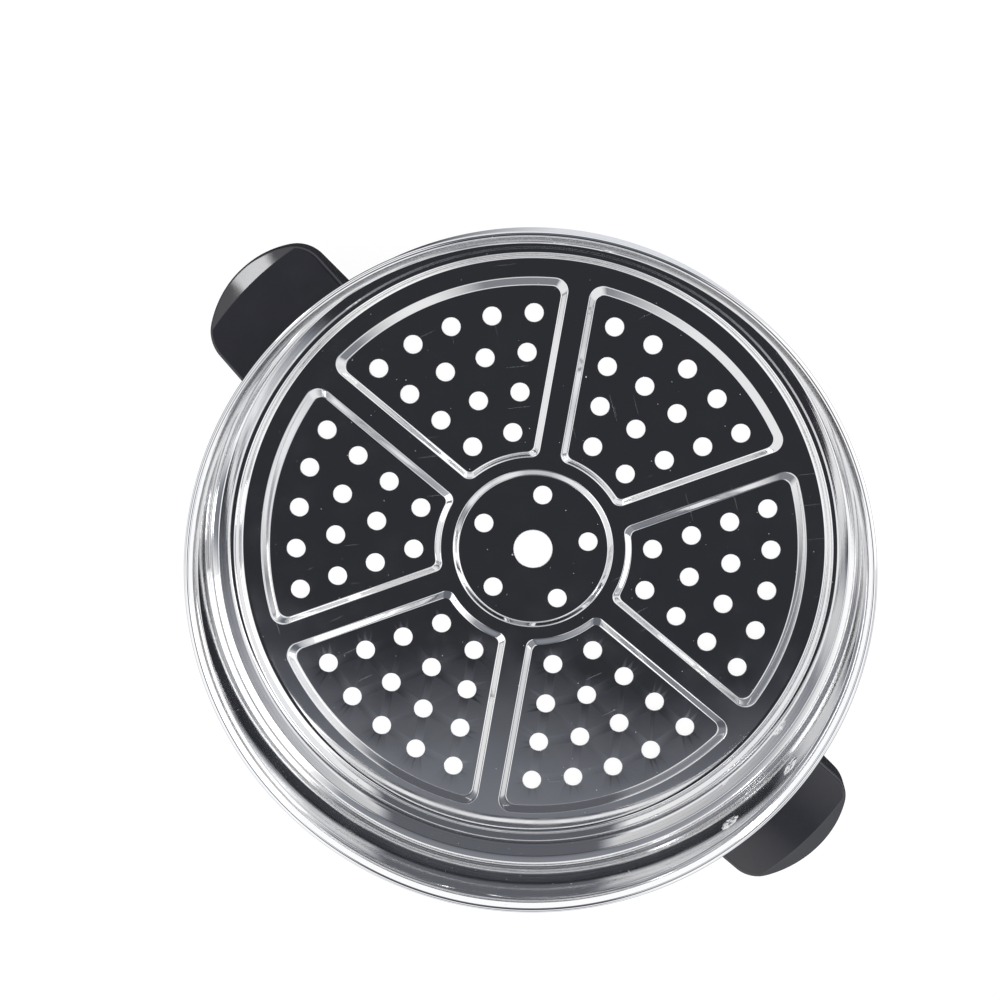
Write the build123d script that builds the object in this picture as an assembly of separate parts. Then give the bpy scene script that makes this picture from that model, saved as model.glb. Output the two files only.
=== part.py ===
from build123d import *
import os
from math import asin, cos, degrees, radians, sin, sqrt

# Steamer pan of a multicooker: one drawn and pressed sheet with a perforated floor, and two
# moulded ear handles, each held by one screw on a bracket that is spot-welded to the wall.
# Millimetres, +Z up. The origin is the pan's centre on the surface that it stands on, and the
# handles lie along X.

# Pan: sheet and wall, then the ledge, the step and the flat border round the sunk floor
sheet = 0.6
wall_inner_radius = 140.0
pan_height = 69.4
ledge_width = 11.2
ledge_corner_radius = 4.3
step_run = 1.4
step_rise = 8.2
step_top_radius = 1.0
step_foot_radius = 1.5
floor_border = 8.6

# Pan: drawn-in neck under the rim, the flare above it and the rim's curl
neck_inset = 2.3
neck_lead = 3.6
neck_depth = 6.2
lead_bend_radius = 2.5
neck_bend_radius = 3.6
flare_run = 3.9
curl_width = 2.0
curl_drop = 4.2
curl_tuck = 1.7
curl_inner_share = 0.45
curl_outer_share = 0.7
curl_end_radius = 1.2

# Pan: raised sectors with channels between them, and the raised centre disc
press_rise = 1.8
sector_count = 6
sector_axis_angle = 35.2
channel_width = 8.8
ring_channel_width = 4.9
sector_outer_run = 4.5
sector_inner_run = 3.0
sector_side_run = 3.3
foot_outer_corner = 6.0
foot_inner_corner = 4.0
plateau_outer_corner = 4.0
plateau_inner_corner = 3.0
disc_radius = 35.0
disc_run = 2.9

# Pan: punched holes, in rows that end on lines parallel to the channels
hole_diameter = 8.0
hole_side_margin = 9.8
outer_row_margin = 11.3
inner_row_margin = 8.9
row_count = 4
first_row_holes = 2
hub_hole_diameter = 16.5
disc_hole_margin = 8.0
disc_hole_count = 5
disc_hole_angle = 53.2

# Handle: D-shaped from above, with a sloping top that breaks into a front bevel at the ridge
handle_width = 59.2
handle_reach = 33.4
handle_front_radius = 41.0
handle_corner_radius = 15.0
handle_rim_gap = 16.4
handle_root_thickness = 26.0
ridge_setback = 7.3
ridge_arc_radius = 130.0
ridge_thickness = 15.0
ridge_radius = 2.0
tip_thickness = 9.0
handle_edge_radius = 2.0
handle_wall_clearance = 0.3

# Handle: finger recess in the underside, a slot that follows the bowed front
recess_lip = 5.6
recess_side_margin = 12.6
recess_depth = 8.0
recess_web = 2.4

# Bracket: a plate curved to the wall, with a tongue bent out of its lower edge
bracket_sheet = 1.2
bracket_width = 46.0
bracket_plate_height = 8.0
bracket_corner_radius = 3.0
bracket_bend_radius = 2.7
tongue_rise = 12.0
tongue_width = 20.0
tongue_length = 17.0
tongue_corner_radius = 4.0
weld_gap = 0.1
weld_diameter = 5.0
weld_spacing = 36.0
pocket_clearance = 0.3

# Screw and split spring washer
screw_diameter = 5.0
screw_reach = 10.0
screw_end = 2.0
screw_end_chamfer = 0.6
screw_head_diameter = 9.0
screw_head_height = 3.0
screw_head_edge = 1.0
driver_slot_length = 5.0
driver_slot_width = 1.1
driver_slot_depth = 1.6
thread_clearance = 0.1
screw_clearance = 0.25
screw_well_clearance = 1.5
washer_diameter = 9.2
washer_thickness = 1.2
washer_gap = 1.0
counterbore_diameter = 11.0
counterbore_depth = 7.0

# One overrun serves every cut
overrun = 2.0

wall_outer_radius = wall_inner_radius + sheet
floor_top = sheet
plateau_top = floor_top + press_rise
ledge_top = floor_top + step_rise
step_radius = wall_inner_radius - ledge_width
floor_radius = step_radius - step_run
sector_angle = 360 / sector_count
foot_offset = channel_width / 2
plateau_offset = foot_offset + sector_side_run
foot_outer_radius = floor_radius - floor_border
foot_inner_radius = disc_radius + ring_channel_width
plateau_outer_radius = foot_outer_radius - sector_outer_run
plateau_inner_radius = foot_inner_radius + sector_inner_run
disc_top_radius = disc_radius - disc_run
handle_tip = wall_outer_radius + handle_reach
handle_rear = wall_outer_radius + handle_wall_clearance
handle_root = sqrt(handle_rear**2 - (handle_width / 2) ** 2) - overrun
handle_base_height = pan_height - handle_rim_gap - handle_root_thickness
bow_centre = handle_tip - handle_front_radius
ridge_reach = handle_tip - ridge_setback
tongue_underside = handle_base_height + tongue_rise
tongue_top = tongue_underside + bracket_sheet
plate_bottom = tongue_underside + bracket_bend_radius
screw_axis_reach = wall_outer_radius + screw_reach
screw_top = tongue_top + screw_end
washer_seat = handle_base_height + counterbore_depth
screw_seat = washer_seat - washer_thickness
full_height = 2 * pan_height


def turned(profile, sweep=360):
    """A face drawn with x as radius and y as height, turned about Z, equally to both sides of +X."""
    solid = revolve(Plane.XZ * profile, axis=Axis.Z, revolution_arc=sweep)
    return Rot(0, 0, -sweep / 2) * solid


def sheet_profile(skin, thickness, side):
    """The section of a sheet: one skin as a path with rounded corners, thickened to one side."""
    return make_face(offset(skin, amount=thickness, side=side).edges())


def about_screw(radius, bottom, top):
    """A cylinder about the screw's axis, between two heights."""
    align = (Align.CENTER, Align.CENTER, Align.MIN)
    return Pos(screw_axis_reach, 0, bottom) * Cylinder(radius, top - bottom, align=align)


def pan_blank():
    """Floor, step, ledge, wall, neck, flare and curl, drawn from one sheet."""
    neck_radius = wall_inner_radius - neck_inset
    flare_radius = neck_radius + flare_run
    rim_radius = flare_radius + curl_width
    neck_top = pan_height - neck_depth
    curl_bottom = pan_height - curl_drop
    points = [
        (0, floor_top),
        (floor_radius, floor_top),
        (step_radius, ledge_top),
        (wall_inner_radius, ledge_top),
        (wall_inner_radius, neck_top - neck_lead),
        (neck_radius, neck_top),
        (flare_radius, pan_height),
        (rim_radius, pan_height),
        (rim_radius, curl_bottom),
        (rim_radius - curl_tuck, curl_bottom),
    ]
    radii = [
        step_foot_radius,
        step_top_radius,
        ledge_corner_radius,
        lead_bend_radius,
        neck_bend_radius,
        curl_inner_share * curl_width,
        curl_outer_share * curl_width,
        curl_end_radius,
    ]
    skin = FilletPolyline(*points, radius=radii)
    return turned(sheet_profile(skin, sheet, Side.RIGHT))


def sector_face(outer_radius, inner_radius, side_offset, outer_corner, inner_corner):
    """One sector about +X, whose sides run parallel to the channels beside it."""
    half = radians(sector_angle / 2)

    def side_point(radius, side):
        along = sqrt(radius**2 - side_offset**2)
        x = along * cos(half) + side_offset * sin(half)
        y = along * sin(half) - side_offset * cos(half)
        return (x, side * y)

    outer_arc = ThreePointArc(side_point(outer_radius, -1), (outer_radius, 0), side_point(outer_radius, 1))
    inner_arc = ThreePointArc(side_point(inner_radius, 1), (inner_radius, 0), side_point(inner_radius, -1))
    left_side = Line(outer_arc @ 1, inner_arc @ 0)
    right_side = Line(inner_arc @ 1, outer_arc @ 0)
    face = make_face([outer_arc, left_side, inner_arc, right_side])
    face = fillet(face.vertices().sort_by(Axis.X)[-2:], outer_corner)
    return fillet(face.vertices().sort_by(Axis.X)[:2], inner_corner)


def raised_sector():
    """The space that one sector's die raises above the floor."""
    foot = sector_face(
        foot_outer_radius, foot_inner_radius, foot_offset, foot_outer_corner, foot_inner_corner
    )
    plateau = sector_face(
        plateau_outer_radius, plateau_inner_radius, plateau_offset, plateau_outer_corner, plateau_inner_corner
    )
    return loft([Pos(0, 0, floor_top) * foot, Pos(0, 0, plateau_top) * plateau], ruled=True)


def hole_places():
    """Sector holes row by row, each row with one hole more than the last, then the disc's ring."""
    first_row = plateau_inner_radius + inner_row_margin
    last_row = plateau_outer_radius - outer_row_margin
    row_pitch = (last_row - first_row) / (row_count - 1)
    places = []
    for sector in range(sector_count):
        axis_angle = sector_axis_angle + sector * sector_angle
        for row in range(row_count):
            radius = first_row + row * row_pitch
            count = first_row_holes + row
            end_angle = sector_angle / 2 - degrees(asin((plateau_offset + hole_side_margin) / radius))
            for hole in range(count):
                angle = axis_angle - end_angle + hole * 2 * end_angle / (count - 1)
                places.append(Rot(0, 0, angle) * Pos(radius, 0, 0))
    for hole in range(disc_hole_count):
        angle = disc_hole_angle + hole * 360 / disc_hole_count
        places.append(Rot(0, 0, angle) * Pos(disc_top_radius - disc_hole_margin, 0, 0))
    return places


def steamer_pan():
    """The drawn blank with its pressed floor and punched holes."""
    sector = raised_sector()
    raised = [Rot(0, 0, sector_axis_angle + n * sector_angle) * sector for n in range(sector_count)]
    disc_lift = Pos(0, 0, floor_top + press_rise / 2)
    raised.append(disc_lift * Cone(disc_radius, disc_top_radius, press_rise))
    hollows = [Pos(0, 0, -sheet) * shape for shape in raised]
    pan = pan_blank() + raised - hollows
    punch_height = plateau_top + overrun
    align = (Align.CENTER, Align.CENTER, Align.MIN)
    punch = Cylinder(hole_diameter / 2, punch_height, align=align)
    hub_punch = Cylinder(hub_hole_diameter / 2, punch_height, align=align)
    return pan - [place * punch for place in hole_places()] - hub_punch


def handle_outline():
    """The handle from above: straight sides, round corners and a bowed front."""
    length = handle_tip - handle_root
    blank = Pos(handle_root, 0, 0) * Rectangle(length, handle_width, align=(Align.MIN, Align.CENTER))
    outline = blank & Pos(bow_centre, 0, 0) * Circle(handle_front_radius)
    return fillet(outline.vertices().sort_by(Axis.X)[-2:], handle_corner_radius)


def handle_block():
    """The moulded form: a profile turned about the ridge's own axis, trimmed to the outline."""
    ridge_axis = ridge_reach - ridge_arc_radius
    end = handle_tip + overrun
    top_slope = (handle_root_thickness - ridge_thickness) / (ridge_reach - handle_rear)
    bevel_slope = (ridge_thickness - tip_thickness) / ridge_setback
    outline = Polyline(
        (handle_root - ridge_axis, 0),
        (end - ridge_axis, 0),
        (end - ridge_axis, tip_thickness - overrun * bevel_slope),
        (ridge_arc_radius, ridge_thickness),
        (handle_root - ridge_axis, ridge_thickness + (ridge_reach - handle_root) * top_slope),
        close=True,
    )
    profile = make_face(outline.edges())
    ridge = profile.vertices().sort_by_distance((ridge_arc_radius, ridge_thickness))[0]
    profile = fillet(ridge, ridge_radius)
    sweep = 2 * degrees(asin((handle_width / 2 + overrun) / (handle_root - ridge_axis)))
    form = Pos(ridge_axis, 0, handle_base_height) * turned(profile, sweep)
    block = form & extrude(handle_outline(), full_height)
    rear_face = block.faces().sort_by(Axis.X)[0]
    ridge_bounds = block.faces().filter_by(GeomType.TORUS).edges().filter_by(GeomType.CIRCLE)
    rounded = block.edges() - block.edges().filter_by(Axis.Z) - rear_face.edges() - ridge_bounds
    return fillet(rounded, handle_edge_radius)


def finger_recess():
    """The curved slot under the front of the handle, inside a lip that follows the bow."""
    outer_radius = handle_front_radius - recess_lip
    inner_radius = screw_axis_reach + counterbore_diameter / 2 + recess_web - bow_centre
    middle_radius = (outer_radius + inner_radius) / 2
    span = degrees((handle_width - 2 * recess_side_margin) / middle_radius)
    middle = CenterArc((bow_centre, 0), middle_radius, -span / 2, span)
    slot = SlotArc(middle, outer_radius - inner_radius)
    return Pos(0, 0, handle_base_height - overrun) * extrude(slot, recess_depth + overrun)


def bracket_shape(room):
    """The bracket's plate and tongue, grown by some room where they face the handle."""
    skin = wall_outer_radius + weld_gap
    thickness = bracket_sheet + room
    width = bracket_width + 2 * room
    height = bracket_plate_height + 2 * room
    bottom = plate_bottom - room
    sweep = 2 * degrees(asin(width / wall_outer_radius))
    plate = turned(Pos(skin, bottom, 0) * Rectangle(thickness, height, align=Align.MIN), sweep)
    front = Plane.YZ * RectangleRounded(width, height, bracket_corner_radius)
    plate = plate & Pos(0, 0, bottom + height / 2) * extrude(front, handle_tip)
    tongue_end = wall_outer_radius + tongue_length + room
    bent_points = [(skin, bottom + height), (skin, tongue_underside), (tongue_end, tongue_underside)]
    bent_skin = FilletPolyline(*bent_points, radius=bracket_bend_radius - room)
    bent = turned(sheet_profile(bent_skin, thickness, Side.LEFT), sweep)
    plan = Rectangle(tongue_end, tongue_width + 2 * room, align=(Align.MIN, Align.CENTER))
    plan = fillet(plan.vertices().sort_by(Axis.X)[-2:], tongue_corner_radius)
    return plate + (bent & extrude(plan, full_height))


def handle_bracket():
    """The stamped bracket, with two weld bosses that reach the wall and a hole for the screw."""
    bracket = bracket_shape(0)
    weld_height = plate_bottom + bracket_plate_height / 2
    weld_angle = degrees(weld_spacing / 2 / wall_outer_radius)
    boss = extrude(Plane.YZ * Circle(weld_diameter / 2), wall_outer_radius + weld_gap + bracket_sheet / 2)
    for side in (-1, 1):
        bracket = bracket + Rot(0, 0, side * weld_angle) * Pos(0, 0, weld_height) * boss
    bracket = bracket - Cylinder(wall_outer_radius, full_height)
    return bracket - about_screw(screw_diameter / 2 + thread_clearance, 0, full_height)


def handle():
    """The moulded ear, hollowed for the wall, the bracket, the screw and the fingers."""
    screw_bore = screw_diameter / 2 + screw_clearance
    ear = handle_block() - Cylinder(handle_rear, full_height) - finger_recess()
    ear = ear - bracket_shape(pocket_clearance)
    ear = ear - about_screw(screw_bore, 0, screw_top + screw_well_clearance)
    return ear - about_screw(counterbore_diameter / 2, 0, washer_seat)


def handle_screw():
    """A pan-head screw, head down, with a cross slot for the driver."""
    align = (Align.CENTER, Align.CENTER, Align.MIN)
    head = Cylinder(screw_head_diameter / 2, screw_head_height, align=align)
    head = fillet(head.edges().sort_by(Axis.Z)[0], screw_head_edge)
    for turn in (0, 90):
        head = head - Rot(0, 0, turn) * Box(driver_slot_length, driver_slot_width, 2 * driver_slot_depth)
    shank = Cylinder(screw_diameter / 2, screw_top - screw_seat, align=align)
    shank = chamfer(shank.edges().sort_by(Axis.Z)[-1], screw_end_chamfer)
    screw = head + Pos(0, 0, screw_head_height) * shank
    return Pos(screw_axis_reach, 0, screw_seat - screw_head_height) * screw


def handle_washer():
    """A split ring between the screw's head and its seat."""
    outer = about_screw(washer_diameter / 2, screw_seat, washer_seat)
    inner = about_screw(screw_diameter / 2 + screw_clearance, screw_seat, washer_seat)
    split = Box(washer_diameter, washer_gap, full_height, align=(Align.MIN, Align.CENTER, Align.CENTER))
    return outer - inner - Pos(screw_axis_reach, 0, 0) * split


os.makedirs("parts", exist_ok=True)
export_step(steamer_pan(), "parts/steamer_pan.step")
handle_set = {
    "handle": handle(),
    "handle_bracket": handle_bracket(),
    "handle_screw": handle_screw(),
    "handle_washer": handle_washer(),
}
for name, piece in handle_set.items():
    export_step(piece, f"parts/{name}_right.step")
    export_step(Rot(0, 0, 180) * piece, f"parts/{name}_left.step")
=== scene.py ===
import cmath
import math

import bpy
from mathutils import Euler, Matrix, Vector


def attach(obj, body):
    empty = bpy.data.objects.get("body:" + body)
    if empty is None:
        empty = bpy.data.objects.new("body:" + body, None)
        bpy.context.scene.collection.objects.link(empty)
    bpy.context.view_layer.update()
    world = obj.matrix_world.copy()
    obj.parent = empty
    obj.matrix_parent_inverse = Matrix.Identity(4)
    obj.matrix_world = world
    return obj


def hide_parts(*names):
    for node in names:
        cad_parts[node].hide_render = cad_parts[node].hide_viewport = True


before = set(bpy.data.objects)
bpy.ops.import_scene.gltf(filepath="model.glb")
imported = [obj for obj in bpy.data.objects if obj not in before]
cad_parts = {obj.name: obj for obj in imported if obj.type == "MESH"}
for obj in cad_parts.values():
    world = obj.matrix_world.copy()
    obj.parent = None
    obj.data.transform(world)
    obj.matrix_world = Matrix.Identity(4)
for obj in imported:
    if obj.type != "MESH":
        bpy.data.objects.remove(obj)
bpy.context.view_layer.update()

# The pan is one sheet of stainless steel, drawn to an upright wall round a sunk floor, curled
# over at the rim, pressed into six raised sectors and a centre disc, punched for steam and then
# polished all over. Every outline below is the sheet's upper skin.
mm = 0.001
sheet = 0.6 * mm
pan_height = 69.4 * mm
wall_radius = 140.0 * mm
wall_segments = 300
bend_pieces = 5
lip_pieces = 6

floor_height = sheet
ledge_height = floor_height + 8.2 * mm
step_radius = wall_radius - 11.2 * mm
floor_radius = step_radius - 1.4 * mm
seam_radius = floor_radius - 2.4 * mm
bead_radius = step_radius + 2.4 * mm
bead_width = 0.8 * mm
bead_drop = 0.12 * mm
wall_foot_radius = wall_radius - 3.9 * mm
wall_foot_rise = 3.0 * mm
neck_height = pan_height - 6.2 * mm
neck_radius = wall_radius - 2.3 * mm
shoulder_height = neck_height - 3.6 * mm
flare_start_radius = neck_radius + 1.6 * mm
flare_start_height = neck_height + 3.8 * mm
flare_radius = neck_radius + 3.9 * mm
curl_width = 2.0 * mm
curl_height = pan_height - 4.2 * mm
rim_radius = flare_radius + curl_width
lip_radius = rim_radius - 1.7 * mm

no_bend = 0.0
floor_bend = 1.5 * mm
ledge_bend = 1.0 * mm
wall_foot_bend = 5.0 * mm
shoulder_bend = 2.5 * mm
neck_bend = 3.6 * mm
flare_bend = 6.0 * mm
rim_inner_bend = 0.45 * curl_width
rim_outer_bend = 0.7 * curl_width
curl_bend = 1.2 * mm

wall_corners = [
    (seam_radius, floor_height, no_bend),
    (floor_radius, floor_height, floor_bend),
    (step_radius, ledge_height, ledge_bend),
    (bead_radius, ledge_height, ledge_bend),
    (bead_radius + bead_width, ledge_height - bead_drop, ledge_bend),
    (wall_foot_radius, ledge_height - 2 * bead_drop, ledge_bend),
    (wall_radius, ledge_height + wall_foot_rise, wall_foot_bend),
    (wall_radius, shoulder_height, shoulder_bend),
    (neck_radius, neck_height, neck_bend),
    (flare_start_radius, flare_start_height, flare_bend),
    (flare_radius, pan_height, rim_inner_bend),
    (rim_radius, pan_height, rim_outer_bend),
    (rim_radius, curl_height, curl_bend),
    (lip_radius, curl_height, no_bend),
]


def arc_points(centre, start, turn, pieces):
    """Points of an arc in the complex plane: its centre, its first spoke and its turn in radians."""
    return [centre + start * cmath.rect(1, turn * i / pieces) for i in range(pieces + 1)]


def rounded_path(corners, pieces):
    """A path through corners, each given by its x, its y and the radius that rounds it."""
    places = [complex(x, y) for x, y, _ in corners]
    bends = [bend for _, _, bend in corners[1:-1]]
    path = [places[0]]
    for before, corner, after, bend in zip(places, places[1:], places[2:], bends):
        back = (before - corner) / abs(before - corner)
        on = (after - corner) / abs(after - corner)
        half = abs(cmath.phase(on / back)) / 2
        centre = corner + (back + on) / abs(back + on) * bend / math.sin(half)
        start = corner + back * bend / math.tan(half) - centre
        stop = corner + on * bend / math.tan(half) - centre
        path += arc_points(centre, start, cmath.phase(stop / start), pieces)
    return path + [places[-1]]


def sheet_section(skin, thickness):
    """Both skins of a sheet as one path, out along the upper skin and back along the lower one."""
    ends = [skin[0]] + skin + [skin[-1]]
    lower = []
    for before, point, after in zip(ends, skin, ends[2:]):
        along = after - before
        lower.append(point - 1j * thickness * along / abs(along))
    middle = (skin[-1] + lower[-1]) / 2
    lip = arc_points(middle, skin[-1] - middle, -math.pi, lip_pieces)
    return skin + lip[1:-1] + lower[::-1]


def placed(name, data):
    """A new object in the scene."""
    made = bpy.data.objects.new(name, data)
    bpy.context.scene.collection.objects.link(made)
    return made


def drawn_object(name, points, closed):
    """A line of points as an object, for a node tree to read; it is removed once that is done."""
    edges = [(i, i + 1) for i in range(len(points) - 1)]
    if closed:
        edges.append((len(points) - 1, 0))
    mesh = bpy.data.meshes.new(name)
    mesh.from_pydata(points, edges, [])
    return placed(name, mesh)


def section_object(name, path):
    """A turned section: x is the radius and z the height."""
    return drawn_object(name, [(p.real, 0, p.imag) for p in path], False)


def outline_object(name, loop):
    """A closed outline seen from above."""
    return drawn_object(name, [(p.real, p.imag, 0) for p in loop], True)


wall_skin = rounded_path(wall_corners, bend_pieces)
wall_section = section_object("wall_section", sheet_section(wall_skin, sheet))

press_rise = 1.8 * mm
sector_count = 6
sector_half = math.pi / sector_count
sector_axis = math.radians(35.2)
disc_foot_radius = 35.0 * mm
disc_top_radius = disc_foot_radius - 2.9 * mm
foot_offset = 4.4 * mm
foot_outer = floor_radius - 8.6 * mm
foot_inner = disc_foot_radius + 4.9 * mm
foot_outer_corner = 6.0 * mm
foot_inner_corner = 4.0 * mm
plateau_offset = foot_offset + 3.3 * mm
plateau_outer = foot_outer - 4.5 * mm
plateau_inner = foot_inner + 3.0 * mm
plateau_outer_corner = 4.0 * mm
plateau_inner_corner = 3.0 * mm
outer_arc_pieces = 18
outer_corner_pieces = 10
side_pieces = 16
inner_pieces = 8
disc_pieces = 120
band_strips = 14


def sector_outline(outer, inner, offset, outer_corner, inner_corner):
    """One sector about +X: two arcs about the pan's axis, and sides parallel to the spokes."""
    spoke = cmath.rect(1, sector_half)
    inward = spoke * -1j
    far = offset + outer_corner
    near = offset + inner_corner
    outer_centre = spoke * math.sqrt((outer - outer_corner) ** 2 - far**2) + inward * far
    inner_centre = spoke * math.sqrt((inner + inner_corner) ** 2 - near**2) + inward * near
    outer_angle = cmath.phase(outer_centre)
    inner_angle = cmath.phase(inner_centre)
    side_angle = sector_half + math.pi / 2
    half = arc_points(0, outer, outer_angle, outer_arc_pieces)
    start = cmath.rect(outer_corner, outer_angle)
    half += arc_points(outer_centre, start, side_angle - outer_angle, outer_corner_pieces)[1:]
    side_start = half[-1]
    side_end = inner_centre - inward * inner_corner
    steps = range(1, side_pieces + 1)
    half += [side_start + (side_end - side_start) * i / side_pieces for i in steps]
    start = cmath.rect(inner_corner, side_angle)
    half += arc_points(inner_centre, start, inner_angle + math.pi - side_angle, inner_pieces)[1:]
    half += arc_points(0, cmath.rect(inner, inner_angle), -inner_angle, inner_pieces)[1:]
    return half + [p.conjugate() for p in half[-2:0:-1]]


def circle_outline(radius):
    """A circle about the pan's axis."""
    return arc_points(0, radius, math.tau, disc_pieces)[:-1]


foot_loop = sector_outline(
    foot_outer, foot_inner, foot_offset, foot_outer_corner, foot_inner_corner
)
plateau_loop = sector_outline(
    plateau_outer, plateau_inner, plateau_offset, plateau_outer_corner, plateau_inner_corner
)
sector_foot = outline_object("sector_foot", foot_loop)
sector_plateau = outline_object("sector_plateau", plateau_loop)
disc_foot = outline_object("disc_foot", circle_outline(disc_foot_radius))
disc_plateau = outline_object("disc_plateau", circle_outline(disc_top_radius))

hole_radius = 4.0 * mm
hole_edge = 0.14 * mm
hole_edge_bend = 0.999 * hole_edge
hole_edge_pieces = 2
hole_segments = 32
hub_radius = 8.25 * mm
row_count = 4
first_row_holes = 2
first_row = plateau_inner + 8.9 * mm
last_row = plateau_outer - 11.3 * mm
row_pitch = (last_row - first_row) / (row_count - 1)
row_end_distance = plateau_offset + 9.8 * mm
disc_hole_count = 5
disc_hole_radius = disc_top_radius - 8.0 * mm
disc_hole_angle = math.radians(53.2)

edge_corners = [
    (hole_radius + hole_edge, -sheet, no_bend),
    (hole_radius, -sheet, hole_edge_bend),
    (hole_radius, 0, hole_edge_bend),
    (hole_radius + hole_edge, 0, no_bend),
]
punched_edge = section_object("punched_edge", rounded_path(edge_corners, hole_edge_pieces))

GEOMETRY = "NodeSocketGeometry"
NUMBER = "NodeSocketFloat"
COUNT = "NodeSocketInt"
THING = "NodeSocketObject"
FINISH = "NodeSocketMaterial"
DIRECTION = "NodeSocketVector"


def new_tree(name, wanted):
    """An empty node tree with named inputs; gives the tree, its inputs and its one output."""
    tree = bpy.data.node_groups.new(name, "GeometryNodeTree")
    for label, kind in wanted.items():
        tree.interface.new_socket(label, in_out="INPUT", socket_type=kind)
    tree.interface.new_socket("Made", in_out="OUTPUT", socket_type=GEOMETRY)
    given = tree.nodes.new("NodeGroupInput").outputs
    result = tree.nodes.new("NodeGroupOutput").inputs["Made"]
    return tree, given, result


def connect(tree, node, inputs):
    """Links each of a node's inputs to an output, to several outputs, or sets it to a value."""
    for key, value in dict(inputs).items():
        for part in value if isinstance(value, list) else [value]:
            if isinstance(part, bpy.types.NodeSocket):
                tree.links.new(part, node.inputs[key])
            else:
                node.inputs[key].default_value = part


def add(tree, kind, inputs=(), output=0, **settings):
    """One node, its settings made and its inputs connected; gives one of its outputs."""
    made = tree.nodes.new(kind)
    for name, value in settings.items():
        setattr(made, name, value)
    connect(tree, made, inputs)
    return made.outputs[output]


def calc(tree, operation, *values):
    """One step of arithmetic."""
    return add(tree, "ShaderNodeMath", dict(enumerate(values)), operation=operation)


def vector_calc(tree, operation, *values, output="Vector"):
    """One step of arithmetic on places or directions."""
    return add(tree, "ShaderNodeVectorMath", dict(enumerate(values)), output, operation=operation)


def scaled(tree, vector, share):
    """A direction made longer or shorter."""
    asked = {"Vector": vector, "Scale": share}
    return add(tree, "ShaderNodeVectorMath", asked, operation="SCALE")


def vector_of(tree, **axes):
    """A place or direction from its X, Y and Z."""
    return add(tree, "ShaderNodeCombineXYZ", axes)


def turned_by(tree, vector, angle):
    """A direction turned about the pan's axis."""
    asked = {"Vector": vector, "Angle": angle}
    return add(tree, "ShaderNodeVectorRotate", asked, rotation_type="Z_AXIS")


def use(tree, group, inputs):
    """A node tree made above, used inside another."""
    return add(tree, "GeometryNodeGroup", inputs, node_tree=group)


def grid_steps(tree, first, second):
    """A grid of vertices, and the two whole numbers that say where each of them is in it."""
    grid = add(tree, "GeometryNodeMeshGrid", {"Vertices X": first, "Vertices Y": second})
    index = add(tree, "GeometryNodeInputIndex")
    along = calc(tree, "FLOOR", calc(tree, "DIVIDE", index, second))
    across = calc(tree, "SUBTRACT", index, calc(tree, "MULTIPLY", along, second))
    return grid, along, across


def point_of(tree, line, index):
    """The place of one point of a drawn line."""
    place = add(tree, "GeometryNodeInputPosition")
    asked = {"Geometry": line, "Value": place, "Index": index}
    return add(tree, "GeometryNodeSampleIndex", asked, data_type="FLOAT_VECTOR")


def points_in(tree, line):
    """How many points a drawn line has."""
    return add(tree, "GeometryNodeAttributeDomainSize", {"Geometry": line}, "Point Count")


def join(tree, *parts):
    """Several geometries as one."""
    return add(tree, "GeometryNodeJoinGeometry", {"Geometry": list(parts)})


def merged(tree, geometry, distance):
    """A geometry whose points are joined where they meet."""
    asked = {"Geometry": geometry, "Distance": distance}
    return add(tree, "GeometryNodeMergeByDistance", asked)


def realized(tree, copies):
    """Copies made into geometry of their own."""
    return add(tree, "GeometryNodeRealizeInstances", {"Geometry": copies})


def set_on(tree, points, thing, **how):
    """One thing set on every point, and turned or scaled there."""
    asked = {"Points": points, "Instance": thing, **how}
    return realized(tree, add(tree, "GeometryNodeInstanceOnPoints", asked))


def finished(tree, geometry, finish):
    """A geometry shaded smooth and given its material."""
    smooth = add(tree, "GeometryNodeSetShadeSmooth", {"Geometry": geometry})
    return add(tree, "GeometryNodeSetMaterial", {"Geometry": smooth, "Material": finish})


skin_merge = 0.001 * mm

turned_skin, given, result = new_tree("turned skin", {"Section": GEOMETRY, "Segments": COUNT})
around = calc(turned_skin, "ADD", given["Segments"], 1)
grid, along, step = grid_steps(turned_skin, points_in(turned_skin, given["Section"]), around)
angle = calc(turned_skin, "DIVIDE", step, given["Segments"])
angle = calc(turned_skin, "MULTIPLY", angle, math.tau)
place = turned_by(turned_skin, point_of(turned_skin, given["Section"], along), angle)
skin = add(turned_skin, "GeometryNodeSetPosition", {"Geometry": grid, "Position": place})
turned_skin.links.new(merged(turned_skin, skin, skin_merge), result)

ramp_steepness = 1.35
ramp_rounding = 0.14
ramp_middle = 0.5

pressed_band, given, result = new_tree(
    "pressed band", {"Foot": GEOMETRY, "Plateau": GEOMETRY, "Rise": NUMBER, "Strips": COUNT}
)
loop_count = points_in(pressed_band, given["Foot"])
around = calc(pressed_band, "ADD", loop_count, 1)
across = calc(pressed_band, "ADD", given["Strips"], 1)
grid, strip, step = grid_steps(pressed_band, across, around)
spot = calc(pressed_band, "MODULO", step, loop_count)
share = calc(pressed_band, "DIVIDE", strip, given["Strips"])
share = calc(pressed_band, "SUBTRACT", 1, share)
low = point_of(pressed_band, given["Foot"], spot)
high = point_of(pressed_band, given["Plateau"], spot)
run = scaled(pressed_band, vector_calc(pressed_band, "SUBTRACT", high, low), share)
place = vector_calc(pressed_band, "ADD", low, run)
ramp = calc(pressed_band, "SUBTRACT", share, ramp_middle)
ramp = calc(pressed_band, "MULTIPLY_ADD", ramp, ramp_steepness, ramp_middle)
ramp = calc(pressed_band, "SMOOTH_MAX", ramp, 0.0, ramp_rounding)
ramp = calc(pressed_band, "SMOOTH_MIN", ramp, 1.0, ramp_rounding)
lift = vector_of(pressed_band, Z=calc(pressed_band, "MULTIPLY", ramp, given["Rise"]))
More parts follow.
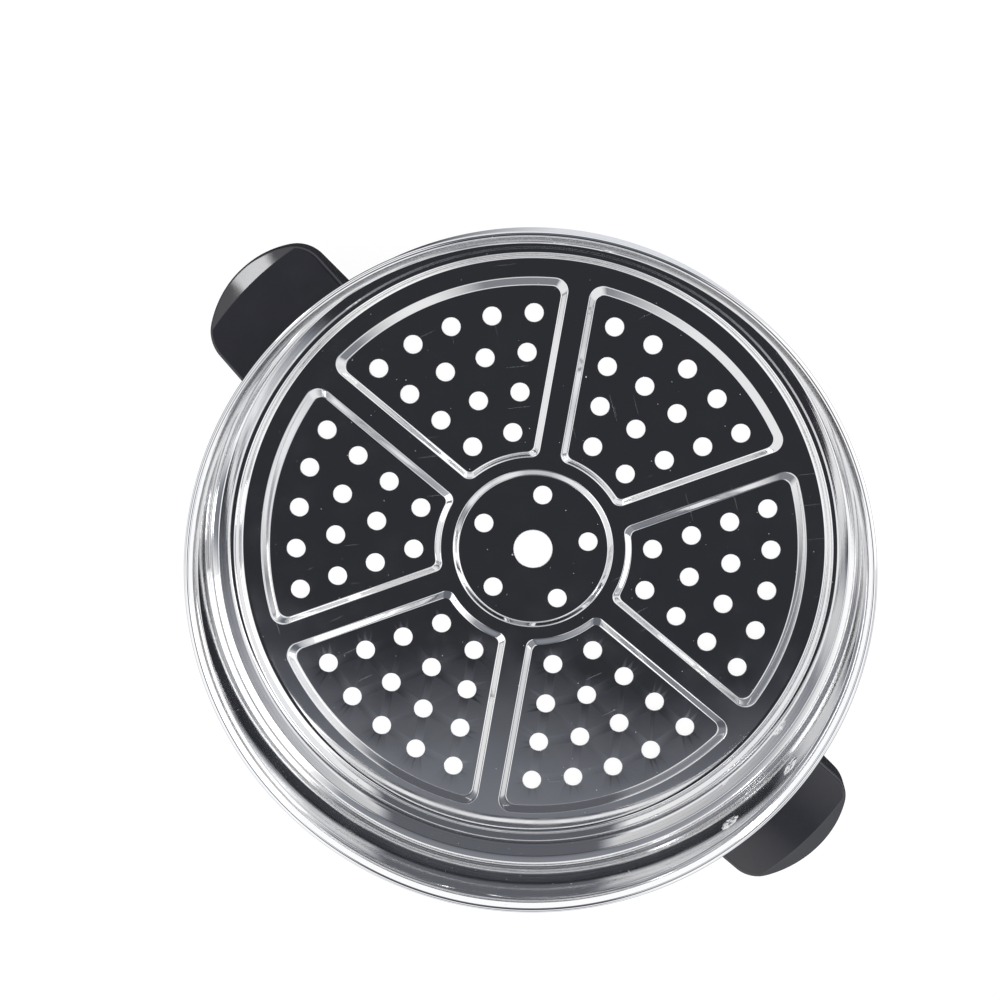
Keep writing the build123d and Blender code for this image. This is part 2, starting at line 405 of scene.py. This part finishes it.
asked = {"Geometry": grid, "Position": place, "Offset": lift}
skin = add(pressed_band, "GeometryNodeSetPosition", asked)
pressed_band.links.new(merged(pressed_band, skin, skin_merge), result)

both_skins, given, result = new_tree("both skins", {"Skin": GEOMETRY, "Sheet": NUMBER})
depth = vector_of(both_skins, Z=calc(both_skins, "MULTIPLY", given["Sheet"], -1))
asked = {"Geometry": given["Skin"], "Translation": depth}
lower = add(both_skins, "GeometryNodeTransform", asked)
lower = add(both_skins, "GeometryNodeFlipFaces", {"Mesh": lower})
both_skins.links.new(join(both_skins, given["Skin"], lower), result)

punched_plate, given, result = new_tree(
    "punched plate",
    {
        "Outline": GEOMETRY,
        "Holes": GEOMETRY,
        "Hole scale": DIRECTION,
        "Edge": GEOMETRY,
        "Edge radius": NUMBER,
        "Edge segments": COUNT,
        "Sheet": NUMBER,
    },
)
asked = {"Resolution": given["Edge segments"], "Radius": given["Edge radius"]}
ring = add(punched_plate, "GeometryNodeCurvePrimitiveCircle", asked)
rings = set_on(punched_plate, given["Holes"], ring, Scale=given["Hole scale"])
border = add(punched_plate, "GeometryNodeMeshToCurve", {"Mesh": given["Outline"]})
plate = add(punched_plate, "GeometryNodeFillCurve", {"Curve": join(punched_plate, border, rings)})
plate = use(punched_plate, both_skins, {"Skin": plate, "Sheet": given["Sheet"]})
asked = {"Section": given["Edge"], "Segments": given["Edge segments"]}
edge = use(punched_plate, turned_skin, asked)
edges = set_on(punched_plate, given["Holes"], edge, Scale=given["Hole scale"])
punched_plate.links.new(join(punched_plate, plate, edges), result)

hole_rows, given, result = new_tree(
    "hole rows",
    {
        "Rows": COUNT,
        "First row holes": COUNT,
        "First row radius": NUMBER,
        "Row pitch": NUMBER,
        "End distance": NUMBER,
        "Half angle": NUMBER,
    },
)
# Each row has one hole more than the row before it, so row k starts after k * (k + odd) / 2 holes,
# where odd is twice the first row's holes less one. Solved for k, that gives the row of a hole.
rounding_guard = 0.001
rows = given["Rows"]
odd = calc(hole_rows, "MULTIPLY_ADD", given["First row holes"], 2, -1)
total = calc(hole_rows, "MULTIPLY", calc(hole_rows, "ADD", rows, odd), rows)
total = calc(hole_rows, "DIVIDE", total, 2)
index = add(hole_rows, "GeometryNodeInputIndex")
root = calc(hole_rows, "MULTIPLY_ADD", index, 8, calc(hole_rows, "POWER", odd, 2))
root = calc(hole_rows, "SQRT", root)
row = calc(hole_rows, "DIVIDE", calc(hole_rows, "SUBTRACT", root, odd), 2)
row = calc(hole_rows, "FLOOR", calc(hole_rows, "ADD", row, rounding_guard))
passed = calc(hole_rows, "ADD", row, odd)
passed = calc(hole_rows, "MULTIPLY", passed, calc(hole_rows, "DIVIDE", row, 2))
spot = calc(hole_rows, "SUBTRACT", index, passed)
gaps = calc(hole_rows, "ADD", given["First row holes"], row)
gaps = calc(hole_rows, "SUBTRACT", gaps, 1)
radius = calc(hole_rows, "MULTIPLY_ADD", row, given["Row pitch"], given["First row radius"])
lean = calc(hole_rows, "ARCSINE", calc(hole_rows, "DIVIDE", given["End distance"], radius))
end_angle = calc(hole_rows, "SUBTRACT", given["Half angle"], lean)
turn = calc(hole_rows, "MULTIPLY_ADD", calc(hole_rows, "DIVIDE", spot, gaps), 2, -1)
angle = calc(hole_rows, "MULTIPLY", turn, end_angle)
place = turned_by(hole_rows, vector_of(hole_rows, X=radius), angle)
points = add(hole_rows, "GeometryNodePoints", {"Count": total, "Position": place})
hole_rows.links.new(points, result)

steamer, given, result = new_tree(
    "drawn, pressed and punched pan",
    {
        "Wall section": THING,
        "Sector foot": THING,
        "Sector plateau": THING,
        "Disc foot": THING,
        "Disc plateau": THING,
        "Punched edge": THING,
        "Wall segments": COUNT,
        "Seam radius": NUMBER,
        "Floor height": NUMBER,
        "Press rise": NUMBER,
        "Band strips": COUNT,
        "Sheet": NUMBER,
        "Sectors": COUNT,
        "First sector angle": NUMBER,
        "Rows": COUNT,
        "First row holes": COUNT,
        "First row radius": NUMBER,
        "Row pitch": NUMBER,
        "Row end distance": NUMBER,
        "Edge radius": NUMBER,
        "Edge segments": COUNT,
        "Hub scale": NUMBER,
        "Disc holes": COUNT,
        "Disc hole radius": NUMBER,
        "Disc hole angle": NUMBER,
        "Finish": FINISH,
    },
)


def line_of(label):
    """The drawn line that one of the pan's inputs names."""
    return add(steamer, "GeometryNodeObjectInfo", {"Object": given[label]}, "Geometry")


def lifted(geometry, height):
    """A geometry raised to a height."""
    asked = {"Geometry": geometry, "Translation": vector_of(steamer, Z=height)}
    return add(steamer, "GeometryNodeTransform", asked)


def pressed_plate(foot, plateau, holes, hole_scale):
    """A raised field of the floor: its pressed band and its punched top."""
    band = use(
        steamer,
        pressed_band,
        {
            "Foot": foot,
            "Plateau": plateau,
            "Rise": given["Press rise"],
            "Strips": given["Band strips"],
        },
    )
    band = use(steamer, both_skins, {"Skin": band, "Sheet": given["Sheet"]})
    top = use(
        steamer,
        punched_plate,
        {
            "Outline": plateau,
            "Holes": holes,
            "Hole scale": hole_scale,
            "Edge": line_of("Punched edge"),
            "Edge radius": given["Edge radius"],
            "Edge segments": given["Edge segments"],
            "Sheet": given["Sheet"],
        },
    )
    return lifted(join(steamer, band, lifted(top, given["Press rise"])), given["Floor height"])


asked = {"Section": line_of("Wall section"), "Segments": given["Wall segments"]}
wall = use(steamer, turned_skin, asked)
index = add(steamer, "GeometryNodeInputIndex")
sector_step = calc(steamer, "DIVIDE", math.tau, given["Sectors"])
sector_angle = calc(steamer, "MULTIPLY_ADD", index, sector_step, given["First sector angle"])
sector_turn = vector_of(steamer, Z=sector_angle)
sector_points = add(steamer, "GeometryNodePoints", {"Count": given["Sectors"]})
sector_holes = use(
    steamer,
    hole_rows,
    {
        "Rows": given["Rows"],
        "First row holes": given["First row holes"],
        "First row radius": given["First row radius"],
        "Row pitch": given["Row pitch"],
        "End distance": given["Row end distance"],
        "Half angle": calc(steamer, "DIVIDE", sector_step, 2),
    },
)
as_drawn = (1, 1, 1)
foot_line = line_of("Sector foot")
sector = pressed_plate(foot_line, line_of("Sector plateau"), sector_holes, as_drawn)
sectors = set_on(steamer, sector_points, sector, Rotation=sector_turn)

# The disc's first hole is the wide one at the hub, and the others stand on a ring round it.
on_ring = calc(steamer, "GREATER_THAN", index, 0.5)
disc_step = calc(steamer, "DIVIDE", math.tau, given["Disc holes"])
disc_turn = calc(steamer, "MULTIPLY_ADD", index, disc_step, given["Disc hole angle"])
ring_radius = calc(steamer, "MULTIPLY", on_ring, given["Disc hole radius"])
ring_place = turned_by(steamer, vector_of(steamer, X=ring_radius), disc_turn)
disc_count = calc(steamer, "ADD", given["Disc holes"], 1)
disc_points = add(steamer, "GeometryNodePoints", {"Count": disc_count, "Position": ring_place})
asked = {"Value": on_ring, "To Min": given["Hub scale"], "To Max": 1.0}
hub_scale = add(steamer, "ShaderNodeMapRange", asked)
hub_scale = vector_of(steamer, X=hub_scale, Y=hub_scale, Z=1.0)
disc_line = line_of("Disc foot")
disc = pressed_plate(disc_line, line_of("Disc plateau"), disc_points, hub_scale)

asked = {"Resolution": given["Wall segments"], "Radius": given["Seam radius"]}
seam = add(steamer, "GeometryNodeCurvePrimitiveCircle", asked)
sector_border = add(steamer, "GeometryNodeMeshToCurve", {"Mesh": foot_line})
sector_borders = set_on(steamer, sector_points, sector_border, Rotation=sector_turn)
disc_border = add(steamer, "GeometryNodeMeshToCurve", {"Mesh": disc_line})
borders = join(steamer, seam, sector_borders, disc_border)
channels = add(steamer, "GeometryNodeFillCurve", {"Curve": borders})
channels = use(steamer, both_skins, {"Skin": channels, "Sheet": given["Sheet"]})
channels = lifted(channels, given["Floor height"])

pan_merge = 0.003 * mm
whole = realized(steamer, join(steamer, wall, sectors, disc, channels))
whole = merged(steamer, whole, pan_merge)
steamer.links.new(finished(steamer, whole, given["Finish"]), result)


def made_by(tree, name, values):
    """A new object whose mesh a node tree makes from the values given for its named inputs."""
    made = placed(name, bpy.data.meshes.new(name))
    maker = made.modifiers.new("maker", "NODES")
    maker.node_group = tree
    sockets = {s.name: s.identifier for s in tree.interface.items_tree if s.in_out == "INPUT"}
    for label, value in values.items():
        maker[sockets[label]] = value
    made.modifiers.new("flats", "WEIGHTED_NORMAL")
    bpy.context.view_layer.update()
    ready = made.evaluated_get(bpy.context.evaluated_depsgraph_get())
    plain = bpy.data.meshes.new_from_object(ready)
    made.modifiers.clear()
    made.data = plain
    plain.name = name
    return made


def new_finish(name):
    """A material to build on: gives it, its node tree, its shader and where on the object it is."""
    finish = bpy.data.materials.new(name)
    finish.use_nodes = True
    tree = finish.node_tree
    place = add(tree, "ShaderNodeTexCoord", (), "Object")
    return finish, tree, tree.nodes["Principled BSDF"], place


def noise(tree, place, scale, detail=2.0):
    """Soft random variation, so many bumps to the metre."""
    asked = {"Vector": place, "Scale": scale, "Detail": detail}
    return add(tree, "ShaderNodeTexNoise", asked, "Fac")


def between(tree, value, low, high, to_low=0.0, to_high=1.0):
    """A value brought from one range to another and held there."""
    asked = {"Value": value, "From Min": low, "From Max": high, "To Min": to_low, "To Max": to_high}
    return add(tree, "ShaderNodeMapRange", asked)


def bumped(tree, height, depth, normal=None):
    """A shading bump of some depth, laid over another one."""
    asked = {"Height": height, "Distance": depth, "Strength": 1.0}
    if normal:
        asked["Normal"] = normal
    return add(tree, "ShaderNodeBump", asked)


def blended(tree, share, first, second):
    """A colour between two others."""
    asked = {"Factor": share, "A": first, "B": second}
    return add(tree, "ShaderNodeMix", asked, "Result", data_type="RGBA")


def specks(tree, place, scale, size, share):
    """Small spots: one to a cell, kept in some share of the cells."""
    cells = add(tree, "ShaderNodeTexVoronoi", {"Vector": place, "Scale": scale}).node
    kept = add(tree, "ShaderNodeSeparateColor", {"Color": cells.outputs["Color"]}).node
    near = calc(tree, "MULTIPLY", kept.outputs["Green"], size)
    spot = calc(tree, "LESS_THAN", cells.outputs["Distance"], near)
    return calc(tree, "MULTIPLY", spot, calc(tree, "LESS_THAN", kept.outputs["Red"], share))


def hairlines(tree, place, turn, length, width, thickness, share):
    """Straight fine scratches of one direction, one to a cell of some length and width."""
    line = add(tree, "ShaderNodeMapping", {"Vector": place, "Rotation": (0, 0, turn)})
    line = add(tree, "ShaderNodeMapping", {"Vector": line, "Scale": (1 / length, 1 / width, 0)})
    return specks(tree, line, 1.0, thickness, share)


drawn_start = 127 * mm
drawn_full = 131 * mm
wave_scale = 34.0
floor_wave_depth = 0.03 * mm
wall_wave_depth = 0.01 * mm
grain_scale = 1400.0
floor_grain_depth = 0.0008 * mm
wall_grain_depth = 0.0003 * mm
ring_scale = 900.0
ring_depth = 0.012 * mm
wear_scale = 60.0
least_wear = 0.35
most_wear = 0.7
best_polish = 0.025
worst_polish = 0.075
scratches = [(0.5, 50 * mm, 0.9 * mm), (-0.9, 40 * mm, 0.8 * mm), (1.9, 30 * mm, 0.8 * mm)]
scratch_thickness = 0.16
scratch_share = 0.05
scratch_roughness = 0.16
coarse_dust = (130.0, 0.05, 0.5)
fine_dust = (360.0, 0.08, 0.4)
dust_roughness = 0.4
mark_dulling = 0.7
steel_tint_scale = 9.0
cool_steel = (0.785, 0.795, 0.815, 1)
warm_steel = (0.84, 0.83, 0.815, 1)

polished_steel, tree, shader, place = new_finish("polished_steel")
axes = add(tree, "ShaderNodeSeparateXYZ", {"Vector": place}).node
flat = vector_of(tree, X=axes.outputs["X"], Y=axes.outputs["Y"])
radius = vector_calc(tree, "LENGTH", flat, output="Value")
section_place = vector_of(tree, X=radius, Y=axes.outputs["Z"])
drawn = between(tree, radius, drawn_start, drawn_full)
wave_depth = between(tree, drawn, 0, 1, floor_wave_depth, wall_wave_depth)
grain_depth = between(tree, drawn, 0, 1, floor_grain_depth, wall_grain_depth)
rings = calc(tree, "MULTIPLY", noise(tree, section_place, ring_scale, 3.0), drawn)
normal = bumped(tree, noise(tree, place, wave_scale, 1.0), wave_depth)
normal = bumped(tree, noise(tree, place, grain_scale), grain_depth, normal)
normal = bumped(tree, rings, ring_depth, normal)
worn = noise(tree, place, wear_scale, 4.0)
rough = between(tree, worn, least_wear, most_wear, best_polish, worst_polish)
lines = 0.0
for turn, length, width in scratches:
    more = hairlines(tree, flat, turn, length, width, scratch_thickness, scratch_share)
    lines = calc(tree, "MAXIMUM", lines, more)
on_floor = calc(tree, "SUBTRACT", 1, drawn)
lines = calc(tree, "MULTIPLY", lines, calc(tree, "MULTIPLY", on_floor, scratch_roughness))
dust = calc(tree, "MAXIMUM", specks(tree, place, *coarse_dust), specks(tree, place, *fine_dust))
marked = calc(tree, "MAXIMUM", lines, calc(tree, "MULTIPLY", dust, dust_roughness))
dulled = calc(tree, "MULTIPLY", marked, mark_dulling)
connect(
    tree,
    shader,
    {
        "Base Color": blended(
            tree, noise(tree, place, steel_tint_scale, 3.0), cool_steel, warm_steel
        ),
        "Metallic": calc(tree, "SUBTRACT", 1, dulled),
        "Roughness": calc(tree, "MAXIMUM", rough, marked),
        "Normal": normal,
    },
)

pan = made_by(
    steamer,
    "pan_sheet",
    {
        "Wall section": wall_section,
        "Sector foot": sector_foot,
        "Sector plateau": sector_plateau,
        "Disc foot": disc_foot,
        "Disc plateau": disc_plateau,
        "Punched edge": punched_edge,
        "Wall segments": wall_segments,
        "Seam radius": seam_radius,
        "Floor height": floor_height,
        "Press rise": press_rise,
        "Band strips": band_strips,
        "Sheet": sheet,
        "Sectors": sector_count,
        "First sector angle": sector_axis,
        "Rows": row_count,
        "First row holes": first_row_holes,
        "First row radius": first_row,
        "Row pitch": row_pitch,
        "Row end distance": row_end_distance,
        "Edge radius": hole_radius + hole_edge,
        "Edge segments": hole_segments,
        "Hub scale": hub_radius / hole_radius,
        "Disc holes": disc_hole_count,
        "Disc hole radius": disc_hole_radius,
        "Disc hole angle": disc_hole_angle,
        "Finish": polished_steel,
    },
)
for line in (wall_section, sector_foot, sector_plateau, disc_foot, disc_plateau, punched_edge):
    bpy.data.objects.remove(line)
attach(pan, "root")
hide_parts("steamer_pan")

# Each handle's bracket is spot-welded to the outside of the wall. On the inside, every weld shows
# as a crumpled, bright dimple in the polished sheet.
mark_count = 4
mark_half_spacing = math.radians(7.33)
mark_height = 41.0 * mm
mark_width = 15.0 * mm
mark_tallness = 20.0 * mm
mark_rise = 0.9 * mm
mark_columns = 40
mark_rows = 28
crumple_scale = 420.0
mark_edge = 0.25
mark_edge_wander = 0.35
mark_crown = 0.1
mark_sink = -0.35
ripple_gain = 2.2
ripple_base = -0.5

weld_marks, given, result = new_tree(
    "weld marks",
    {
        "Marks": COUNT,
        "Wall radius": NUMBER,
        "Half spacing": NUMBER,
        "Height": NUMBER,
        "Width": NUMBER,
        "Tallness": NUMBER,
        "Rise": NUMBER,
        "Crumple": NUMBER,
        "Finish": FINISH,
    },
)
patch = add(
    weld_marks,
    "GeometryNodeMeshGrid",
    {
        "Size X": given["Width"],
        "Size Y": given["Tallness"],
        "Vertices X": mark_columns,
        "Vertices Y": mark_rows,
    },
).node
stood = add(
    weld_marks,
    "GeometryNodeTransform",
    {
        "Geometry": patch.outputs["Mesh"],
        "Rotation": (math.pi / 2, 0, -math.pi / 2),
        "Translation": vector_of(weld_marks, X=given["Wall radius"], Z=given["Height"]),
    },
)
index = add(weld_marks, "GeometryNodeInputIndex")
handle_side = calc(weld_marks, "FLOOR", calc(weld_marks, "DIVIDE", index, 2))
mark_side = calc(weld_marks, "MULTIPLY_ADD", calc(weld_marks, "MODULO", index, 2), 2, -1)
angle = calc(weld_marks, "MULTIPLY", handle_side, math.pi)
angle = calc(weld_marks, "MULTIPLY_ADD", mark_side, given["Half spacing"], angle)
spots = add(weld_marks, "GeometryNodePoints", {"Count": given["Marks"]})
marks = set_on(weld_marks, spots, stood, Rotation=vector_of(weld_marks, Z=angle))
patch_middle = (0.5, 0.5, 0)
across = vector_calc(weld_marks, "SUBTRACT", patch.outputs["UV Map"], patch_middle)
across = vector_calc(weld_marks, "LENGTH", across, output="Value")
spot = add(weld_marks, "GeometryNodeInputPosition")
wander = noise(weld_marks, spot, given["Crumple"], 3.0)
edge = calc(weld_marks, "MULTIPLY_ADD", wander, mark_edge_wander, mark_edge)
bulge = add(
    weld_marks,
    "ShaderNodeMapRange",
    {
        "Value": across,
        "From Min": edge,
        "From Max": mark_crown,
        "To Min": mark_sink,
        "To Max": 1.0,
    },
    interpolation_type="SMOOTHSTEP",
)
ripple = noise(weld_marks, spot, given["Crumple"], 4.0)
ripple = calc(weld_marks, "MULTIPLY_ADD", ripple, ripple_gain, ripple_base)
lift = calc(weld_marks, "MULTIPLY", calc(weld_marks, "MULTIPLY", bulge, ripple), given["Rise"])
shift = scaled(weld_marks, add(weld_marks, "GeometryNodeInputNormal"), lift)
marks = add(weld_marks, "GeometryNodeSetPosition", {"Geometry": marks, "Offset": shift})
weld_marks.links.new(finished(weld_marks, marks, given["Finish"]), result)

welds = made_by(
    weld_marks,
    "weld_marks",
    {
        "Marks": mark_count,
        "Wall radius": wall_radius,
        "Half spacing": mark_half_spacing,
        "Height": mark_height,
        "Width": mark_width,
        "Tallness": mark_tallness,
        "Rise": mark_rise,
        "Crumple": crumple_scale,
        "Finish": polished_steel,
    },
)
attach(welds, "root")

# The two ear handles are compression-moulded from black phenolic, glossy from the mould, with a
# few pale specks of filler in the skin. Each is held by one screw from below.
deep_black = (0.012, 0.012, 0.016, 1)
soft_black = (0.024, 0.024, 0.031, 1)
filler_grey = (0.30, 0.30, 0.32, 1)
cloud_scale = 70.0
filler_specks = (120.0, 0.07, 0.12)
phenolic_specular = 0.6
gloss_scale = 160.0
glossiest = 0.05
dullest = 0.10
mould_wave_scale = 55.0
mould_wave_depth = 0.015 * mm
mould_grain_scale = 1800.0
mould_grain_depth = 0.002 * mm
noise_low = 0.3
noise_high = 0.7


def finish_pair(kind, finish):
    """Gives a finish to the right and the left piece of a kind."""
    for side in ("right", "left"):
        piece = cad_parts[f"{kind}_{side}"]
        for spot in piece.material_slots:
            spot.material = finish


black_phenolic, tree, shader, place = new_finish("black_phenolic")
clouded = blended(tree, noise(tree, place, cloud_scale, 4.0), deep_black, soft_black)
gloss = noise(tree, place, gloss_scale, 5.0)
normal = bumped(tree, noise(tree, place, mould_wave_scale), mould_wave_depth)
normal = bumped(tree, noise(tree, place, mould_grain_scale), mould_grain_depth, normal)
connect(
    tree,
    shader,
    {
        "Base Color": blended(tree, specks(tree, place, *filler_specks), clouded, filler_grey),
        "Specular IOR Level": phenolic_specular,
        "Roughness": between(tree, gloss, noise_low, noise_high, glossiest, dullest),
        "Normal": normal,
    },
)
finish_pair("handle", black_phenolic)

# Behind each handle sits a bracket, stamped from steel strip and bent, and left as it came from
# the press. Two spot welds hold it to the outside of the wall.
pale_strip = (0.64, 0.64, 0.65, 1)
grey_strip = (0.52, 0.52, 0.53, 1)
strip_tint_scale = 120.0
stroke_stretch = (1.0, 1.0, 14.0)
stroke_scale = 260.0
strip_smoothest = 0.25
strip_roughest = 0.45
stroke_bump_scale = 500.0
stroke_depth = 0.01 * mm

bracket_steel, tree, shader, place = new_finish("bracket_steel")
strokes = add(tree, "ShaderNodeMapping", {"Vector": place, "Scale": stroke_stretch})
brushed = noise(tree, strokes, stroke_scale, 4.0)
connect(
    tree,
    shader,
    {
        "Base Color": blended(
            tree, noise(tree, place, strip_tint_scale, 3.0), grey_strip, pale_strip
        ),
        "Metallic": 1.0,
        "Roughness": between(tree, brushed, noise_low, noise_high, strip_smoothest, strip_roughest),
        "Normal": bumped(tree, noise(tree, strokes, stroke_bump_scale), stroke_depth),
    },
)
finish_pair("handle_bracket", bracket_steel)

# One steel screw, plated with zinc, is driven from below and pulls each handle against the
# tongue of its bracket.
bluish_zinc = (0.60, 0.61, 0.62, 1)
yellowish_zinc = (0.70, 0.69, 0.66, 1)
bloom_scale = 420.0
zinc_smoothest = 0.22
zinc_roughest = 0.4
zinc_grain_scale = 900.0
zinc_grain_depth = 0.01 * mm

plated_screw, tree, shader, place = new_finish("plated_screw")
bloom = noise(tree, place, bloom_scale, 4.0)
connect(
    tree,
    shader,
    {
        "Base Color": blended(tree, bloom, bluish_zinc, yellowish_zinc),
        "Metallic": 1.0,
        "Roughness": between(tree, bloom, noise_low, noise_high, zinc_smoothest, zinc_roughest),
        "Normal": bumped(tree, noise(tree, place, zinc_grain_scale), zinc_grain_depth),
    },
)
finish_pair("handle_screw", plated_screw)

# A split spring washer, wound from steel wire and plated like the screw, lies under each screw
# head and keeps it tight.
finish_pair("handle_washer", plated_screw)

# The pan stands on a white table that keeps its shadow. Reflections show the table dimmer than
# the camera does, and darkest beside the handles, where a painted shade lies on it.
table_reach = 12.0
table_drop = 0.1 * mm
table_white = (0.8, 0.8, 0.8, 1)
shadow_white = (0.15, 0.15, 0.15, 1)
camera_glow = 0.93
mirror_glow_tint = (0.95, 0.98, 1.05, 1)
# Where the painted shade lies beside the handles, and how dark it makes the table in reflections.
painted_shade_middle = (165 * mm, 0, 0)
painted_shade_reach = 70 * mm
painted_shade_end = 130 * mm
painted_shade_glow = 0.03
open_glow = 0.55
painted_shade_white = 0.02
open_white = 0.35

table_mesh = bpy.data.meshes.new("table")
table_corners = [(-1, -1), (1, -1), (1, 1), (-1, 1)]
table_mesh.from_pydata(
    [(x * table_reach, y * table_reach, -table_drop) for x, y in table_corners],
    [],
    [(0, 1, 2, 3)],
)
table = placed("table", table_mesh)
white = bpy.data.materials.new("white_table")
white.use_nodes = True
tree = white.node_tree
tree.nodes.clear()
ray = tree.nodes.new("ShaderNodeLightPath")
board = add(tree, "ShaderNodeBsdfDiffuse", {"Color": table_white})
shadowed = add(tree, "ShaderNodeBsdfDiffuse", {"Color": shadow_white})
glow = add(tree, "ShaderNodeEmission", {"Color": (1, 1, 1, 1), "Strength": camera_glow})
shown = add(tree, "ShaderNodeAddShader", {0: shadowed, 1: glow})
place = add(tree, "ShaderNodeTexCoord", (), "Object")
# Painted shade: in reflections the table glows and scatters less near a spot beside each handle.
beside = vector_calc(tree, "ABSOLUTE", place)
beside = vector_calc(tree, "DISTANCE", beside, painted_shade_middle, output="Value")
mirror_glow = between(tree, beside, painted_shade_reach, painted_shade_end, painted_shade_glow, open_glow)
mirror_white = between(tree, beside, painted_shade_reach, painted_shade_end, painted_shade_white, open_white)
glow = add(tree, "ShaderNodeEmission", {"Color": mirror_glow_tint, "Strength": mirror_glow})
dimmed = add(tree, "ShaderNodeBsdfDiffuse", {"Color": mirror_white})
mirrored = add(tree, "ShaderNodeAddShader", {0: dimmed, 1: glow})
seen = calc(tree, "MAXIMUM", ray.outputs["Is Camera Ray"], ray.outputs["Is Transmission Ray"])
mixed = add(tree, "ShaderNodeMixShader", {0: ray.outputs["Is Glossy Ray"], 1: board, 2: mirrored})
mixed = add(tree, "ShaderNodeMixShader", {0: seen, 1: mixed, 2: shown})
connect(tree, tree.nodes.new("ShaderNodeOutputMaterial"), {"Surface": mixed})
table_mesh.materials.append(white)

# The room is a pale dome, dark overhead and on the camera's side, with a dim belt half way up. The
# sheet mirrors all of it, so bright windows cut the belt, gaps dim the dome and patches shine.
# All angles are in degrees, and azimuths start at +X.
overhead_end = 12.5
dome_start = 22
overhead_level = 0.035
dome_level = 1.2
belt_top = (38, 44)
belt_bottom = (74, 67)
belt_level = 0.33
stand_azimuth = 127.5
stand_side = (30, 35)
stand_top = (13, 16)
stand_bottom = (68, 60)
stand_level = 0.17
gap_depth = 0.8
dim_tint = (0.90, 0.95, 1.12, 1)
bright_tint = (0.99, 0.995, 1.01, 1)
dim_tint_level = 0.03
bright_tint_level = 0.8

# A window is an azimuth and the two angles between which its edge fades. A gap and a patch have
# an elevation too, and a patch also has a brightness.
windows = [(265, 18, 36), (17, 6, 24), (336, 2, 13), (77, 2, 15)]
gaps = [(310, 69, 3.5, 6.5), (26, 20, 6, 13)]
patches = [
    (253, 77, 2, 5, 0.8),
    (308, 72, 2, 6, 0.25),
    (60, 27, 13, 27, 1.4),
    (186.5, 5, 3.2, 5.0, 11.0),
    (186.5, 11, 3.2, 5.0, 11.0),
]

room = bpy.data.worlds.new("room")
bpy.context.scene.world = room
room.use_nodes = True
tree = room.node_tree
direction = add(tree, "ShaderNodeTexCoord", (), "Generated")
axes = add(tree, "ShaderNodeSeparateXYZ", {"Vector": direction}).node
flat = vector_of(tree, X=axes.outputs["X"], Y=axes.outputs["Y"])
flat = vector_calc(tree, "NORMALIZE", flat)
from_zenith = calc(tree, "DEGREES", calc(tree, "ARCCOSINE", axes.outputs["Z"]))


def toward(azimuth, elevation):
    """A direction, from its angles in degrees."""
    az = math.radians(azimuth)
    el = math.radians(elevation)
    return Vector((math.cos(az) * math.cos(el), math.sin(az) * math.cos(el), math.sin(el)))


def close_to(vector, aim, full, none):
    """How near a direction is to an aim: 1 up to one angle in degrees from it and 0 past another."""
    along = vector_calc(tree, "DOT_PRODUCT", vector, aim, output="Value")
    return between(tree, along, math.cos(math.radians(none)), math.cos(math.radians(full)))


level = add(
    tree,
    "ShaderNodeMapRange",
    {
        "Value": from_zenith,
        "From Min": overhead_end,
        "From Max": dome_start,
        "To Min": overhead_level,
        "To Max": dome_level,
    },
    interpolation_type="SMOOTHSTEP",
)
belt = between(tree, from_zenith, *belt_top)
belt = calc(tree, "MINIMUM", belt, between(tree, from_zenith, *belt_bottom))
for azimuth, full, none in windows:
    window = close_to(flat, toward(azimuth, 0), full, none)
    belt = calc(tree, "MULTIPLY", belt, calc(tree, "SUBTRACT", 1, window))
stand = close_to(flat, toward(stand_azimuth, 0), *stand_side)
stand = calc(tree, "MULTIPLY", stand, between(tree, from_zenith, *stand_top))
stand = calc(tree, "MULTIPLY", stand, between(tree, from_zenith, *stand_bottom))
for shade, shade_level in ((belt, belt_level), (stand, stand_level)):
    change = calc(tree, "SUBTRACT", shade_level, level)
    level = calc(tree, "MULTIPLY_ADD", change, shade, level)
for azimuth, elevation, full, none in gaps:
    gap = close_to(direction, toward(azimuth, elevation), full, none)
    level = calc(tree, "MULTIPLY", level, calc(tree, "MULTIPLY_ADD", gap, -gap_depth, 1))
for azimuth, elevation, full, none, brightness in patches:
    shine = close_to(direction, toward(azimuth, elevation), full, none)
    level = calc(tree, "MAXIMUM", level, calc(tree, "MULTIPLY", shine, brightness))
tint_share = between(tree, level, dim_tint_level, bright_tint_level)
sky = blended(tree, tint_share, dim_tint, bright_tint)
connect(tree, tree.nodes["Background"], {"Color": sky, "Strength": level})

# One softbox stands low at the right of the pan and faces it. Its power follows from the
# brightness of its face.
softbox_azimuth = 60
softbox_elevation = 27
softbox_distance = 1.6
softbox_width = 1.2
softbox_height = 0.9
softbox_radiance = 1.4

lamp = bpy.data.lights.new("softbox_right", "AREA")
lamp.shape = "RECTANGLE"
lamp.size = softbox_width
lamp.size_y = softbox_height
lamp.energy = softbox_radiance * math.pi * softbox_width * softbox_height
softbox = placed("softbox_right", lamp)
away = toward(softbox_azimuth, softbox_elevation)
softbox.location = away * softbox_distance
softbox.rotation_euler = away.to_track_quat("Z", "Y").to_euler()

# The camera looks down from almost straight above, as the photograph does. Its turn is in degrees
# about X, Y and Z.
camera_sensor = 36.0
camera_lens = 116.506
camera_place = (-0.15868, 0.20168, 1.38289)
camera_turn = (-9.5841, 1.8883, 45.1781)

camera_data = bpy.data.cameras.new("camera")
camera_data.sensor_width = camera_sensor
camera_data.lens = camera_lens
camera = placed("camera", camera_data)
camera.location = camera_place
camera.rotation_euler = Euler([math.radians(angle) for angle in camera_turn])
bpy.context.scene.camera = camera
bpy.context.scene.view_settings.view_transform = "Standard"
